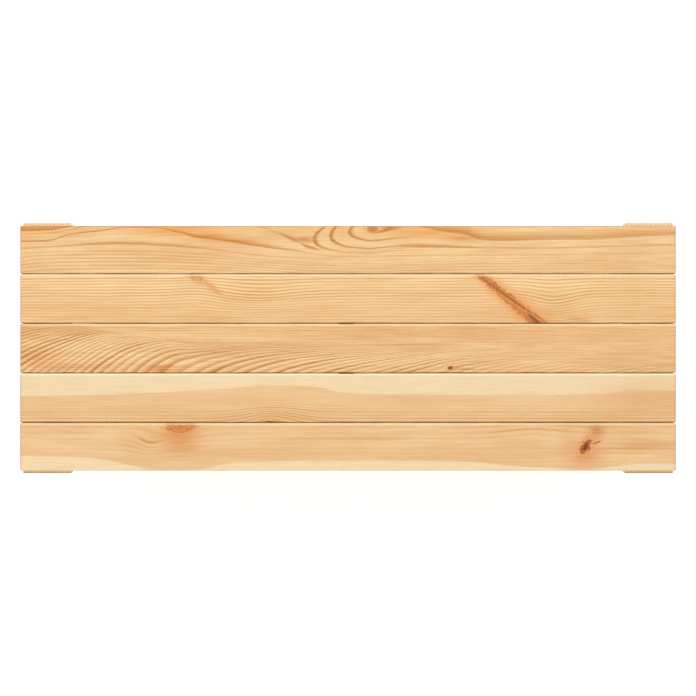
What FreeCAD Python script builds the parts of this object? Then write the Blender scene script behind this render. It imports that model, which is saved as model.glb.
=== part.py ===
import FreeCAD, Part
import math
import os
from collections import namedtuple

# A low wagon for a child. Five boards lie on four cross battens. The rear axle is fixed, the front
# axle turns on a turntable, and the pull handle folds back under the deck, between the wheels.
# Millimetres. The origin is on the ground under the middle of the deck, +X points to the handle's
# hinge and +Z points up.

# Fits
fixed_gap = 0.05  # per side, between round pieces that stay still in each other
running_gap = 0.08  # per side, around a pin or axle that something turns on
side_gap = 0.3  # between faces that pass each other

# Deck boards, from -Y to +Y: one outer board, the inner ones, and the other outer board
board_length = 800.0
board_thickness = 18.0
inner_board_width = 60.0
outer_board_width = 58.5
inner_board_count = 3
seam_gap = 0.5
board_arris = 1.5

# Strap slots at the two seams beside the middle board, cut half into each of their boards
slot_length = 18.0
slot_half_depth = 0.75
slot_x = -2.0

# Cross battens under the boards
batten_thickness = 18.0
batten_arris = 1.5
end_batten_width = 60.0
end_batten_overhang = 4.0  # past the deck's long edges
end_batten_inset = 1.0  # from the deck's ends
bolster_margin = 2.0  # past the turntable's plates
bolster_inset = 9.5  # from the deck's long edges

# Wheels and axles
axle_inset = 140.0  # from the deck's ends to the axles
hub_cap_inset = 9.5  # from the deck's long edges to the hub caps
wheel_radius = 80.0
wheel_clearance = 12.0  # from the tyres' tops to the battens
axle_radius = 5.0
axle_washer_radius = 10.0
axle_washer_thickness = 2.0
tyre_width = 26.0
tyre_thickness = 10.0
tyre_crown = 2.5
tyre_shoulder_round = 1.5
tyre_groove_width = 2.2
tyre_groove_depth = 1.6
tyre_groove_spacing = 9.0
hub_radius = 22.0
hub_proud = 0.7  # past the tyre's sides
web_thickness = 16.0
rim_height = 13.0
turning_round = 2.2
bush_wall = 3.0
bush_flange_radius = 13.0
bush_flange_thickness = 2.0
cap_radius = 10.5
cap_height = 9.0
cap_round = 4.0
axle_into_cap = 5.5
end_chamfer = 0.8

# Axle beams
beam_thickness = 45.0
beam_corner = 5.0
beam_arris = 2.0
arch_width = 76.0
arch_rise = 10.0
strap_width = 20.0
strap_thickness = 2.0
strap_inset = 10.0  # from the beam's ends
strap_screw_inset = 8.5  # from the beam's long faces

# Turntable
plate_radius = 48.0
plate_thickness = 3.0
plate_hole_inset = 10.0  # from the plates' edges to the circle of screws and stop pins
turntable_gap = 0.2
thrust_thickness = 2.0
thrust_clearance = 5.0  # from the thrust washer's edge to the stop pins
kingpin_radius = 6.0
kingpin_head_radius = 11.0
kingpin_head_height = 5.0
kingpin_nut_flats = 19.0
kingpin_nut_height = 6.0
kingpin_washer_radius = 12.0
kingpin_washer_thickness = 2.0
kingpin_recess_radius = 15.0
kingpin_recess_depth = 12.0
kingpin_top_clearance = 2.0  # from the pin's end to the board over it
steering_limit = 35.0  # degrees each way
stop_pin_radius = 3.0
stop_pin_overrun = 2.0  # past the lower plate's underside
stop_pin_seat = 3.0  # how far the pins enter the front bolster
lower_screw_angle = 17.0  # degrees from the axle's line

# Yoke, the forked bracket that carries the handle
yoke_thickness = 4.0
yoke_boss_radius = 14.0
yoke_web_rise = 14.0  # from the beam's underside to the web
yoke_web_height = 54.0
yoke_shoulder = 16.0  # how far the ears run level before they slope
yoke_bend = 3.0
yoke_bolt_radius = 4.0
yoke_bolt_spacing = 26.0
yoke_bolt_head_radius = 8.5
yoke_bolt_head_height = 4.5
yoke_bolt_head_round = 4.0
yoke_nut_height = 6.5
yoke_washer_radius = 9.0
yoke_washer_thickness = 1.6
nut_flats = 13.0
bolt_overrun = 2.5  # past a nut

# Handle
handle_clearance = 3.0  # below the front axle beam when folded
handle_end_inset = 1.0  # from the deck's front end when folded
grip_clearance = 25.0  # from the rear tyres to the grip's middle when folded
handle_thickness = 30.0
handle_hinge_width = 36.0
handle_grip_width = 32.0
handle_arris = 4.0
friction_washer_radius = 12.0
friction_washer_thickness = 1.5
friction_gap = 0.1
pivot_radius = 4.0
pivot_head_height = 5.3
pivot_nut_height = 8.0
pivot_bush_wall = 2.0
grip_radius = 10.0
grip_length = 130.0
grip_end_round = 5.0

# Wood screws
screw_radius = 2.0
screw_head_radius = 4.0
screw_head_height = 2.4
screw_tip_length = 4.0
screw_tip_radius = 0.4
recess_arm = 4.6
recess_blade = 0.9
recess_depth = 1.5
screw_cover = 5.0  # wood left beyond a screw's point in the deck and the handle
deck_screw_stagger = 15.0  # each board has two screws at a batten, set on a slant
bolster_screw_inset = 19.0  # from the bolsters' long edges
inner_beam_screw_y = 30.0
lower_screw_length = 40.0
strap_screw_length = 20.0
beam_screw_length = 60.0

past = 1.0  # how far a cutting shape runs past the face that it leaves by

# Heights, from the ground up
axle_z = wheel_radius
beam_bottom = axle_z - axle_radius - fixed_gap
batten_bottom = 2 * wheel_radius + wheel_clearance
board_bottom = batten_bottom + batten_thickness
deck_top = board_bottom + board_thickness
upper_plate_bottom = batten_bottom - plate_thickness
thrust_bottom = upper_plate_bottom - thrust_thickness
lower_plate_top = thrust_bottom - turntable_gap
lower_plate_bottom = lower_plate_top - plate_thickness
recess_floor = board_bottom - kingpin_recess_depth
kingpin_washer_bottom = recess_floor + turntable_gap
kingpin_nut_bottom = kingpin_washer_bottom + kingpin_washer_thickness
handle_top = beam_bottom - handle_clearance
handle_bottom = handle_top - handle_thickness
pivot_z = handle_top - handle_thickness / 2
yoke_low = beam_bottom + yoke_web_rise
yoke_high = yoke_low + yoke_web_height

# Places along the wagon
front_x = board_length / 2 - axle_inset
rear_x = -front_x
end_batten_x = board_length / 2 - end_batten_inset - end_batten_width / 2
beam_front = front_x + beam_thickness / 2
beam_back = front_x - beam_thickness / 2
pivot_x = board_length / 2 - handle_end_inset - handle_thickness / 2
grip_x = rear_x + wheel_radius + grip_clearance

# Places across the wagon
inner_width = inner_board_count * inner_board_width + (inner_board_count + 1) * seam_gap
deck_width = inner_width + 2 * outer_board_width
hub_width = tyre_width + 2 * hub_proud
flanged_hub_width = hub_width + 2 * bush_flange_thickness
cap_y = deck_width / 2 - hub_cap_inset - cap_height
outer_washer_y = cap_y - axle_washer_thickness
wheel_y = outer_washer_y - side_gap - flanged_hub_width / 2
beam_half = wheel_y - flanged_hub_width / 2 - side_gap - axle_washer_thickness
axle_half = cap_y + axle_into_cap
strap_y = beam_half - strap_inset - strap_width / 2
ear_inner = handle_hinge_width / 2 + 2 * friction_gap + friction_washer_thickness
ear_outer = ear_inner + yoke_thickness

# Sizes that follow from those above
rim_radius = wheel_radius - tyre_thickness
rim_inner_radius = rim_radius - rim_height
bush_radius = axle_radius + running_gap + bush_wall
bolster_width = 2 * (plate_radius + bolster_margin)
plate_hole_circle = plate_radius - plate_hole_inset
thrust_radius = plate_hole_circle - stop_pin_radius - thrust_clearance
pivot_bush_radius = pivot_radius + running_gap + pivot_bush_wall
deck_screw_length = batten_thickness + board_thickness - screw_cover
upper_screw_length = plate_thickness + batten_thickness - screw_cover
grip_screw_length = handle_thickness - screw_cover

vec = FreeCAD.Vector
sides = (-1, 1)
Screw = namedtuple("Screw", "x y head_z up length")


# Plain shapes


def box(x_range, y_range, z_range):
    size = [high - low for low, high in (x_range, y_range, z_range)]
    return Part.makeBox(*size, vec(x_range[0], y_range[0], z_range[0]))


def rod(start, end, radius):
    along = end - start
    return Part.makeCylinder(radius, along.Length, start, along)


def ring(start, end, outer, inner):
    return rod(start, end, outer).cut(rod(start, end, inner))


def x_rod(low, high, y, z, radius):
    return rod(vec(low, y, z), vec(high, y, z), radius)


def y_rod(x, low, high, z, radius):
    return rod(vec(x, low, z), vec(x, high, z), radius)


def z_rod(x, y, low, high, radius):
    return rod(vec(x, y, low), vec(x, y, high), radius)


def filleted(shape, radius, wanted):
    return shape.makeFillet(radius, [edge for edge in shape.Edges if wanted(edge)])


def domed(start, end, radius, edge_round):
    """A rod with its far end rounded."""
    return filleted(rod(start, end, radius), edge_round, lambda edge: is_circle_at(edge, end))


def is_circle_at(edge, point):
    return edge.Closed and edge.CenterOfMass.distanceToPoint(point) < fixed_gap


def is_upright(edge):
    bounds = edge.BoundBox
    return bounds.ZLength > 1 and bounds.XLength < 0.01 and bounds.YLength < 0.01


def is_level(edge):
    return edge.BoundBox.ZLength < 0.01


def hexagon(across_flats, start, end):
    """A hexagonal prism from start to end, with its end corners turned off as on a nut."""
    along = end - start
    corner_radius = across_flats / math.sqrt(3)
    turns = [math.radians(60 * number) for number in range(7)]
    corners = [vec(corner_radius * math.cos(turn), corner_radius * math.sin(turn), 0) for turn in turns]
    prism = Part.Face(Part.makePolygon(corners)).extrude(vec(0, 0, along.Length))
    blank = Part.makeCylinder(corner_radius, along.Length)
    prism = prism.common(filleted(blank, corner_radius - across_flats / 2, lambda edge: edge.Closed))
    prism.Placement = FreeCAD.Placement(start, FreeCAD.Rotation(vec(0, 0, 1), along))
    return prism


# Wood screws


def placed_screw(shape, screw):
    """Moves a shape that was drawn pointing up from its head at the origin to a screw's place."""
    if not screw.up:
        shape.rotate(vec(0, 0, 0), vec(1, 0, 0), 180)
    shape.translate(vec(screw.x, screw.y, screw.head_z))
    return shape


def screw_blank(length, gap):
    tip_start = length - screw_tip_length
    radius = screw_radius + gap
    head = Part.makeCone(screw_head_radius + gap, radius, screw_head_height)
    shank = z_rod(0, 0, screw_head_height, tip_start, radius)
    tip = Part.makeCone(radius, screw_tip_radius + gap, screw_tip_length, vec(0, 0, tip_start))
    return head.fuse([shank, tip]).removeSplitter()


def screw_solid(screw):
    blank = screw_blank(screw.length, 0)
    for arm_x, arm_y in ((recess_arm, recess_blade), (recess_blade, recess_arm)):
        blank = blank.cut(box((-arm_x / 2, arm_x / 2), (-arm_y / 2, arm_y / 2), (-past, recess_depth)))
    return placed_screw(blank, screw)


def screw_set(screws):
    return Part.makeCompound([screw_solid(screw) for screw in screws])


def drilled(piece, screws):
    """The piece with a countersunk hole for each of these screws that is over or under it."""
    bounds = piece.BoundBox
    for screw in screws:
        if bounds.XMin < screw.x < bounds.XMax and bounds.YMin < screw.y < bounds.YMax:
            piece = piece.cut(placed_screw(screw_blank(screw.length, fixed_gap), screw))
    return piece


def board_spans():
    """The low and high Y of each board."""
    widths = [outer_board_width] + [inner_board_width] * inner_board_count + [outer_board_width]
    spans = []
    low = -deck_width / 2
    for width in widths:
        spans.append((low, low + width))
        low += width + seam_gap
    return spans


def batten_screws(batten_x, offset_x, skip=()):
    """Two screws up into each board, through the batten at batten_x."""
    screws = []
    for number, (low, high) in enumerate(board_spans()):
        if number not in skip:
            for side in sides:
                x = batten_x + side * offset_x
                y = (low + high) / 2 + side * deck_screw_stagger
                screws.append(Screw(x, y, batten_bottom, True, deck_screw_length))
    return screws


def plate_circle_point(degrees):
    turn = math.radians(degrees)
    return front_x + plate_hole_circle * math.cos(turn), plate_hole_circle * math.sin(turn)


def strap_screws(x):
    offset = beam_thickness / 2 - strap_screw_inset
    places = [(x + side_x * offset, side_y * strap_y) for side_x in sides for side_y in sides]
    return [Screw(*place, beam_bottom - strap_thickness, True, strap_screw_length) for place in places]


# The middle board has no screws at the front bolster, where the kingpin's nut lies under it.
kingpin_board = len(board_spans()) // 2
bolster_screw_x = bolster_width / 2 - bolster_screw_inset
deck_screws = {
    "front_end_batten_screws": batten_screws(end_batten_x, deck_screw_stagger),
    "rear_end_batten_screws": batten_screws(-end_batten_x, deck_screw_stagger),
    "front_bolster_screws": batten_screws(front_x, bolster_screw_x, skip=(kingpin_board,)),
    "rear_bolster_screws": batten_screws(rear_x, bolster_screw_x),
}
all_deck_screws = [screw for screws in deck_screws.values() for screw in screws]
upper_screws = [
    Screw(*plate_circle_point(degrees), upper_plate_bottom, True, upper_screw_length)
    for degrees in (45, 135, 225, 315)
]
lower_screws = [
    Screw(*plate_circle_point(left_or_right + turn), lower_plate_top, False, lower_screw_length)
    for left_or_right in (90, 270)
    for turn in (-lower_screw_angle, lower_screw_angle)
]
beam_screws = [
    Screw(rear_x, side * y, board_bottom, False, beam_screw_length)
    for side in sides
    for y in (inner_beam_screw_y, strap_y)
]
grip_screw = Screw(grip_x, 0, handle_top, False, grip_screw_length)


# Deck


def strap_slots():
    half_width = slot_half_depth + seam_gap / 2
    seam_y = (inner_board_width + seam_gap) / 2
    x_range = (slot_x - slot_length / 2, slot_x + slot_length / 2)
    z_range = (board_bottom - past, deck_top + past)
    return [box(x_range, (side * seam_y - half_width, side * seam_y + half_width), z_range) for side in sides]


def deck_board(span):
    board = box((-board_length / 2, board_length / 2), span, (board_bottom, deck_top))
    board = board.makeFillet(board_arris, board.Edges)
    return drilled(board.cut(strap_slots()), all_deck_screws)


def batten(x, width, length):
    x_range = (x - width / 2, x + width / 2)
    piece = box(x_range, (-length / 2, length / 2), (batten_bottom, board_bottom))
    return piece.makeFillet(batten_arris, piece.Edges)


def end_batten(x):
    return drilled(batten(x, end_batten_width, deck_width + 2 * end_batten_overhang), all_deck_screws)


def bolster(x):
    return drilled(batten(x, bolster_width, deck_width - 2 * bolster_inset), all_deck_screws)


def front_bolster():
    hole = z_rod(front_x, 0, batten_bottom - past, board_bottom, kingpin_radius + running_gap)
    recess = z_rod(front_x, 0, recess_floor, board_bottom + past, kingpin_recess_radius)
    piece = drilled(bolster(front_x), upper_screws)
    return piece.cut([hole, recess] + stop_pin_rods(batten_bottom - past, fixed_gap))


def rear_bolster():
    return drilled(bolster(rear_x), beam_screws)


# Turntable


def stop_pin_rods(low, gap):
    """Two rods, in front of and behind the kingpin, up into the front bolster."""
    high = batten_bottom + stop_pin_seat + gap
    return [z_rod(*plate_circle_point(degrees), low, high, stop_pin_radius + gap) for degrees in (0, 180)]


def steering_stop_pins():
    return Part.makeCompound(stop_pin_rods(lower_plate_bottom - stop_pin_overrun, 0))


def kingpin_hole(gap):
    return z_rod(front_x, 0, beam_bottom, board_bottom, kingpin_radius + gap)


def turntable_upper_plate():
    plate = z_rod(front_x, 0, upper_plate_bottom, batten_bottom, plate_radius)
    plate = plate.cut([kingpin_hole(running_gap)] + stop_pin_rods(upper_plate_bottom - past, fixed_gap))
    return drilled(plate, upper_screws)


def turntable_thrust_washer():
    return z_rod(front_x, 0, thrust_bottom, upper_plate_bottom, thrust_radius).cut(kingpin_hole(running_gap))


def stop_slot(middle_angle):
    """An arc slot that gives a stop pin the steering limit each way, and the side gap beyond."""
    half_width = stop_pin_radius + side_gap
    low = vec(front_x, 0, lower_plate_bottom - past)
    height = plate_thickness + 2 * past
    upward = vec(0, 0, 1)
    slot = Part.makeCylinder(plate_hole_circle + half_width, height, low, upward, 2 * steering_limit)
    slot = slot.cut(Part.makeCylinder(plate_hole_circle - half_width, height, low))
    slot.rotate(low, upward, middle_angle - steering_limit)
    for side in sides:
        end_x, end_y = plate_circle_point(middle_angle + side * steering_limit)
        slot = slot.fuse(z_rod(end_x, end_y, low.z, low.z + height, half_width))
    return slot


def turntable_lower_plate():
    plate = z_rod(front_x, 0, lower_plate_bottom, lower_plate_top, plate_radius)
    plate = plate.cut([kingpin_hole(fixed_gap), stop_slot(0), stop_slot(180)])
    return drilled(plate, lower_screws)


def kingpin():
    top = board_bottom - kingpin_top_clearance
    pin = z_rod(front_x, 0, lower_plate_bottom, top, kingpin_radius)
    tip_edges = [edge for edge in pin.Edges if is_circle_at(edge, vec(front_x, 0, top))]
    pin = pin.makeChamfer(end_chamfer, tip_edges)
    head_bottom = lower_plate_bottom - kingpin_head_height
    head = z_rod(front_x, 0, head_bottom, lower_plate_bottom, kingpin_head_radius)
    return pin.fuse(head).removeSplitter()


def kingpin_washer():
    washer = z_rod(front_x, 0, kingpin_washer_bottom, kingpin_nut_bottom, kingpin_washer_radius)
    return washer.cut(kingpin_hole(side_gap))


def kingpin_nut():
    top = kingpin_nut_bottom + kingpin_nut_height
    nut = hexagon(kingpin_nut_flats, vec(front_x, 0, kingpin_nut_bottom), vec(front_x, 0, top))
    return nut.cut(kingpin_hole(fixed_gap))


# Axle beams and what holds the axles


def axle_beam(x, top):
    """A block that stands across the wagon over an axle, with an arch between the axle straps."""
    x_range = (x - beam_thickness / 2, x + beam_thickness / 2)
    block = box(x_range, (-beam_half, beam_half), (beam_bottom, top))
    block = filleted(filleted(block, beam_corner, is_upright), beam_arris, is_level)
    arch_radius = (arch_width**2 / 4 + arch_rise**2) / (2 * arch_rise)
    arch_z = beam_bottom + arch_rise - arch_radius
    arch = x_rod(x_range[0] - past, x_range[1] + past, 0, arch_z, arch_radius)
    groove_radius = axle_radius + fixed_gap
    groove_end = beam_half + past
    groove = y_rod(x, -groove_end, groove_end, axle_z, groove_radius)
    groove_x = (x - groove_radius, x + groove_radius)
    groove = groove.fuse(box(groove_x, (-groove_end, groove_end), (beam_bottom - past, axle_z)))
    return drilled(block.cut([arch, groove]), strap_screws(x))


def front_axle_beam():
    beam = drilled(axle_beam(front_x, lower_plate_bottom), lower_screws)
    head_low = lower_plate_bottom - kingpin_head_height - fixed_gap
    beam = beam.cut(z_rod(front_x, 0, head_low, lower_plate_bottom + past, kingpin_head_radius + fixed_gap))
    return beam.cut(yoke_bolt_holes())


def rear_axle_beam():
    return drilled(axle_beam(rear_x, batten_bottom), beam_screws)


def axle(x):
    bar = y_rod(x, -axle_half, axle_half, axle_z, axle_radius)
    return bar.makeChamfer(end_chamfer, [edge for edge in bar.Edges if edge.Closed])


def axle_straps(x):
    straps = []
    half_x = beam_thickness / 2
    for side in sides:
        y_range = (side * strap_y - strap_width / 2, side * strap_y + strap_width / 2)
        strap = box((x - half_x, x + half_x), y_range, (beam_bottom - strap_thickness, beam_bottom))
        straps.append(drilled(filleted(strap, beam_arris, is_upright), strap_screws(x)))
    return Part.makeCompound(straps)


def axle_washers(x):
    washers = []
    for side in sides:
        for start in (beam_half, outer_washer_y):
            low = vec(x, side * start, axle_z)
            high = vec(x, side * (start + axle_washer_thickness), axle_z)
            washers.append(ring(low, high, axle_washer_radius, axle_radius + 2 * fixed_gap))
    return Part.makeCompound(washers)


def hub_caps(x):
    """Domed caps pushed over the axle's ends."""
    caps = []
    for side in sides:
        open_end = vec(x, side * cap_y, axle_z)
        cap = domed(open_end, vec(x, side * (cap_y + cap_height), axle_z), cap_radius, cap_round)
        socket_end = vec(x, side * (axle_half + fixed_gap), axle_z)
        caps.append(cap.cut(rod(open_end, socket_end, axle_radius + fixed_gap)))
    return Part.makeCompound(caps)


# Wheels, drawn round the Y axis at the origin


def turned_about_y(outline):
    """A solid of revolution from a closed wire in the XY plane."""
    return Part.Face(outline).revolve(vec(0, 0, 0), vec(0, 1, 0), 360)


def wheel_disc():
    """A turned wooden disc, with a web between a hub and a rim that both stand proud of it."""
    half_hub = hub_width / 2
    half_web = web_thickness / 2
    half_rim = tyre_width / 2
    bore = bush_radius + fixed_gap
    steps = [(bore, half_hub), (hub_radius, half_hub), (hub_radius, half_web)]
    steps += [(rim_inner_radius, half_web), (rim_inner_radius, half_rim), (rim_radius, half_rim)]
    corners = [vec(radius, y, 0) for radius, y in steps]
    corners += [vec(radius, -y, 0) for radius, y in reversed(steps)]
    disc = turned_about_y(Part.makePolygon(corners + corners[:1]))
    return filleted(disc, turning_round, is_on_hub_or_rim)


def is_on_hub_or_rim(edge):
    """True for the circles where the hub and the rim rise from the web."""
    radius = edge.BoundBox.XLength / 2
    return edge.Closed and min(abs(radius - hub_radius), abs(radius - rim_inner_radius)) < fixed_gap


def tyre():
    inner = rim_radius + fixed_gap
    half = tyre_width / 2
    shoulder = wheel_radius - tyre_crown
    tread = Part.Arc(vec(shoulder, -half, 0), vec(wheel_radius, 0, 0), vec(shoulder, half, 0)).toShape()
    seat = [vec(shoulder, half, 0), vec(inner, half, 0), vec(inner, -half, 0), vec(shoulder, -half, 0)]
    solid = turned_about_y(Part.Wire([tread] + Part.makePolygon(seat).Edges))
    solid = filleted(solid, tyre_shoulder_round, lambda edge: is_shoulder(edge, shoulder))
    outside = wheel_radius + past
    for side in sides:
        low = side * tyre_groove_spacing / 2 - tyre_groove_width / 2
        high = low + tyre_groove_width
        solid = solid.cut(ring(vec(0, low, 0), vec(0, high, 0), outside, wheel_radius - tyre_groove_depth))
    return solid


def is_shoulder(edge, shoulder):
    return edge.Closed and abs(edge.BoundBox.XLength / 2 - shoulder) < fixed_gap


def wheel_bushes():
    """Two flanged bushes that meet in the middle of the hub."""
    bushes = []
    bore = axle_radius + running_gap
    for side in sides:
        middle = vec(0, side * fixed_gap, 0)
        shoulder = vec(0, side * hub_width / 2, 0)
        face = vec(0, side * flanged_hub_width / 2, 0)
        sleeve = ring(middle, shoulder, bush_radius, bore)
        bushes.append(sleeve.fuse(ring(shoulder, face, bush_flange_radius, bore)).removeSplitter())
    return Part.makeCompound(bushes)


def at_wheel(shape, x, side):
    shape.translate(vec(x, side * wheel_y, axle_z))
    return shape


# Yoke and its fasteners


def yoke_bolt_heights():
    middle = (yoke_low + yoke_high) / 2
    return [middle + side * yoke_bolt_spacing / 2 for side in sides]


def yoke_bolt_holes():
    low = beam_back - past
    high = beam_front + yoke_thickness + past
    return [x_rod(low, high, 0, z, yoke_bolt_radius + fixed_gap) for z in yoke_bolt_heights()]


def tangent_point(point, centre, radius, side):
    """Where a line from a point touches a circle in the XZ plane, on one side or the other."""
    away = point - centre
    turn = math.atan2(away.z, away.x) + side * math.acos(radius / away.Length)
    return centre + vec(radius * math.cos(turn), 0, radius * math.sin(turn))


def yoke_ear_face():
    """An ear's outline: level along the web, then sloping down to the boss around the pivot."""
    boss = vec(pivot_x, 0, pivot_z)
    shoulder = vec(beam_front + yoke_shoulder, 0, yoke_high)
    heel = vec(beam_front + yoke_shoulder, 0, yoke_low)
    top = tangent_point(shoulder, boss, yoke_boss_radius, -1)
    bottom = tangent_point(heel, boss, yoke_boss_radius, 1)
    web = [vec(beam_front, 0, yoke_low), vec(beam_front, 0, yoke_high)]
    nose = Part.Arc(top, boss + vec(yoke_boss_radius, 0, 0), bottom).toShape()
    return Part.Face(Part.Wire(Part.makePolygon([bottom, heel] + web + [shoulder, top]).Edges + [nose]))


def handle_yoke():
    """A plate bent to a U, with its web on the front axle beam and an ear on each side of the handle."""
    block = yoke_ear_face().extrude(vec(0, 2 * ear_outer, 0))
    block.translate(vec(0, -ear_outer, 0))
    block = filleted(block, yoke_bend + yoke_thickness, is_upright)
    room_x = (beam_front + yoke_thickness, pivot_x + yoke_boss_radius + past)
    room = box(room_x, (-ear_inner, ear_inner), (handle_bottom, deck_top))
    room = filleted(room, yoke_bend, lambda edge: is_upright(edge) and edge.BoundBox.XMax < pivot_x)
    pivot_hole = y_rod(pivot_x, -ear_outer - past, ear_outer + past, pivot_z, pivot_radius + fixed_gap)
    return block.cut([room, pivot_hole] + yoke_bolt_holes())


def yoke_bolts():
    """Coach bolts: a domed head on the yoke's web, and a shank back through the beam."""
    face = beam_front + yoke_thickness
    end = beam_back - yoke_washer_thickness - yoke_nut_height - bolt_overrun
    bolts = []
    for z in yoke_bolt_heights():
        head_top = vec(face + yoke_bolt_head_height, 0, z)
        head = domed(vec(face, 0, z), head_top, yoke_bolt_head_radius, yoke_bolt_head_round)
        bolts.append(head.fuse(x_rod(end, face, 0, z, yoke_bolt_radius)).removeSplitter())
    return Part.makeCompound(bolts)


def yoke_washers():
    washers = []
    for z in yoke_bolt_heights():
        low = vec(beam_back - yoke_washer_thickness, 0, z)
        washers.append(ring(low, vec(beam_back, 0, z), yoke_washer_radius, yoke_bolt_radius + side_gap))
    return Part.makeCompound(washers)


def yoke_nuts():
    nuts = []
    high = beam_back - yoke_washer_thickness
    low = high - yoke_nut_height
    for z in yoke_bolt_heights():
        nut = hexagon(nut_flats, vec(low, 0, z), vec(high, 0, z))
        nuts.append(nut.cut(x_rod(low, high, 0, z, yoke_bolt_radius + fixed_gap)))
    return Part.makeCompound(nuts)


# Handle and its pivot


def pivot_point(y):
    return vec(pivot_x, y, pivot_z)


def handle_pivot_bolt():
    head = hexagon(nut_flats, pivot_point(ear_outer), pivot_point(ear_outer + pivot_head_height))
    end = -ear_outer - pivot_nut_height - bolt_overrun
    return head.fuse(y_rod(pivot_x, end, ear_outer, pivot_z, pivot_radius)).removeSplitter()


def handle_pivot_nut():
    low = pivot_point(-ear_outer - pivot_nut_height)
    high = pivot_point(-ear_outer)
    return hexagon(nut_flats, low, high).cut(rod(low, high, pivot_radius + fixed_gap))


def handle_friction_washers():
    washers = []
    start = handle_hinge_width / 2 + friction_gap
    hole = pivot_radius + 2 * fixed_gap
    for side in sides:
        low = pivot_point(side * start)
        high = pivot_point(side * (start + friction_washer_thickness))
        washers.append(ring(low, high, friction_washer_radius, hole))
    return Part.makeCompound(washers)


def handle_pivot_bush():
    half = handle_hinge_width / 2
    return ring(pivot_point(-half), pivot_point(half), pivot_bush_radius, pivot_radius + running_gap)


def handle_bar():
    """A tapered bar, round over its pivot at one end and round in plan beyond the grip."""
    half_hinge = handle_hinge_width / 2
    half_grip = handle_grip_width / 2
    hinge_end = pivot_x + handle_thickness / 2
    grip_side = [vec(grip_x, side * half_grip, handle_bottom) for side in sides]
    hinge_side = [vec(hinge_end, side * half_hinge, handle_bottom) for side in sides]
    tail = Part.Arc(grip_side[0], vec(grip_x - half_grip, 0, handle_bottom), grip_side[1]).toShape()
    straight = Part.makePolygon([grip_side[1], hinge_side[1], hinge_side[0], grip_side[0]])
    bar = Part.Face(Part.Wire(straight.Edges + [tail])).extrude(vec(0, 0, handle_thickness))
    bar = bar.common(rounded_hinge_blank())
    bar = filleted(bar, handle_arris, runs_round_bar)
    across = half_hinge + past
    bore = y_rod(pivot_x, -across, across, pivot_z, pivot_bush_radius + fixed_gap)
    grip_hole = y_rod(grip_x, -across, across, pivot_z, grip_radius + fixed_gap)
    return drilled(bar.cut([bore, grip_hole]), [grip_screw])


def rounded_hinge_blank():
    across = handle_hinge_width
    x_range = (grip_x - handle_grip_width, pivot_x)
    shaft = box(x_range, (-across, across), (handle_bottom - past, handle_top + past))
    return shaft.fuse(y_rod(pivot_x, -across, across, pivot_z, handle_thickness / 2))


def runs_round_bar(edge):
    """True for the bar's long edges and their rounded ends, not for lines straight across or up it."""
    return edge.BoundBox.XLength > 1


def handle_grip():
    grip = y_rod(grip_x, -grip_length / 2, grip_length / 2, pivot_z, grip_radius)
    grip = filleted(grip, grip_end_round, lambda edge: edge.Closed)
    return drilled(grip, [grip_screw])


# The whole wagon


def deck_parts():
    parts = {f"deck_board_{number}": deck_board(span) for number, span in enumerate(board_spans(), 1)}
    parts["front_end_batten"] = end_batten(end_batten_x)
    parts["rear_end_batten"] = end_batten(-end_batten_x)
    parts["front_bolster"] = front_bolster()
    parts["rear_bolster"] = rear_bolster()
    for name, screws in deck_screws.items():
        parts[name] = screw_set(screws)
    parts["rear_axle_beam"] = rear_axle_beam()
    parts["rear_beam_screws"] = screw_set(beam_screws)
    return parts


def turntable_parts():
    return {
        "turntable_upper_plate": turntable_upper_plate(),
        "turntable_upper_screws": screw_set(upper_screws),
        "steering_stop_pins": steering_stop_pins(),
        "turntable_thrust_washer": turntable_thrust_washer(),
        "turntable_lower_plate": turntable_lower_plate(),
        "turntable_lower_screws": screw_set(lower_screws),
        "kingpin": kingpin(),
        "kingpin_washer": kingpin_washer(),
        "kingpin_nut": kingpin_nut(),
        "front_axle_beam": front_axle_beam(),
    }


def axle_parts():
    parts = {}
    for end, x in (("front", front_x), ("rear", rear_x)):
        parts[f"{end}_axle"] = axle(x)
        parts[f"{end}_axle_straps"] = axle_straps(x)
        parts[f"{end}_strap_screws"] = screw_set(strap_screws(x))
        parts[f"{end}_axle_washers"] = axle_washers(x)
        parts[f"{end}_hub_caps"] = hub_caps(x)
        for hand, side in (("right", -1), ("left", 1)):
            parts[f"{end}_{hand}_wheel_disc"] = at_wheel(wheel_disc(), x, side)
            parts[f"{end}_{hand}_tyre"] = at_wheel(tyre(), x, side)
            parts[f"{end}_{hand}_wheel_bushes"] = at_wheel(wheel_bushes(), x, side)
    return parts


def handle_parts():
    return {
        "handle_yoke": handle_yoke(),
        "yoke_bolts": yoke_bolts(),
        "yoke_washers": yoke_washers(),
        "yoke_nuts": yoke_nuts(),
        "handle_pivot_bolt": handle_pivot_bolt(),
        "handle_pivot_nut": handle_pivot_nut(),
        "handle_friction_washers": handle_friction_washers(),
        "handle_pivot_bush": handle_pivot_bush(),
        "handle_bar": handle_bar(),
        "handle_grip": handle_grip(),
        "handle_grip_screw": screw_solid(grip_screw),
    }


os.makedirs("parts", exist_ok=True)
wagon = deck_parts() | turntable_parts() | axle_parts() | handle_parts()
for name, shape in wagon.items():
    volume = sum(solid.Volume for solid in shape.Solids)
    state = "" if shape.Solids and all(solid.isValid() for solid in shape.Solids) else "INVALID"
    print(f"{name:28s} {len(shape.Solids):3d} solids {volume:12.1f} mm3 {state}")
    shape.exportStep(f"parts/{name}.step")
print(f"{len(wagon)} nodes, deck {board_length} x {deck_width} mm with its top at {deck_top}")
print(f"axles at x {front_x} and {rear_x}, wheels at y {wheel_y}, beams {2 * beam_half} mm long")
print(f"handle pivot at x {pivot_x} z {pivot_z}, grip at x {grip_x}, {pivot_x - grip_x} mm apart")
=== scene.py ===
import math

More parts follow.
